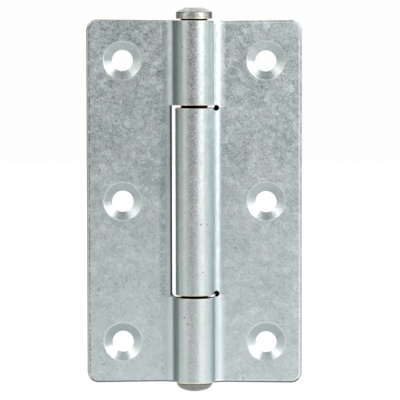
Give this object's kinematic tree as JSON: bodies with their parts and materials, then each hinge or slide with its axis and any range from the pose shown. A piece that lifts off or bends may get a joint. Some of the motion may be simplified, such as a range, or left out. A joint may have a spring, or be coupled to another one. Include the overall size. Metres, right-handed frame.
{
  "type": "butt hinge",
  "caption": "Flat-leaf butt hinge in bent sheet steel, with rounded leaf corners, countersunk screw holes in line, rolled knuckles and a riveted pin with headed ends.",
  "frame": {"origin": "on the pin axis, halfway between the tips of the pin's heads, with the hinge flat open", "axes": "+Z along the pin towards its formed (collared) head, -Y out of the countersunk front of the leaves, +X towards the leaf that carries the middle knuckle"},
  "size_m": [0.059, 0.0104, 0.1052],
  "materials": {
    "zinc_sheet": "satin zinc plating",
    "pin_steel": "satin zinc plating, scuffed on the heads"
  },
  "bodies": {
    "fixed_leaf": {"left_leaf": "zinc_sheet"},
    "swing_leaf": {"right_leaf": "zinc_sheet"},
    "pin": {"hinge_pin": "pin_steel"}
  },
  "joints": [
    {"name": "leaf_swing", "type": "hinge", "parent": "fixed_leaf", "child": "swing_leaf", "pos_m": [0, 0, 0], "axis": [0, 0, -1], "range_deg": [-108, 180]},
    {"name": "pin_turn", "type": "hinge", "parent": "fixed_leaf", "child": "pin", "pos_m": [0, 0, 0], "axis": [0, 0, 1], "continuous": true}
  ]
}
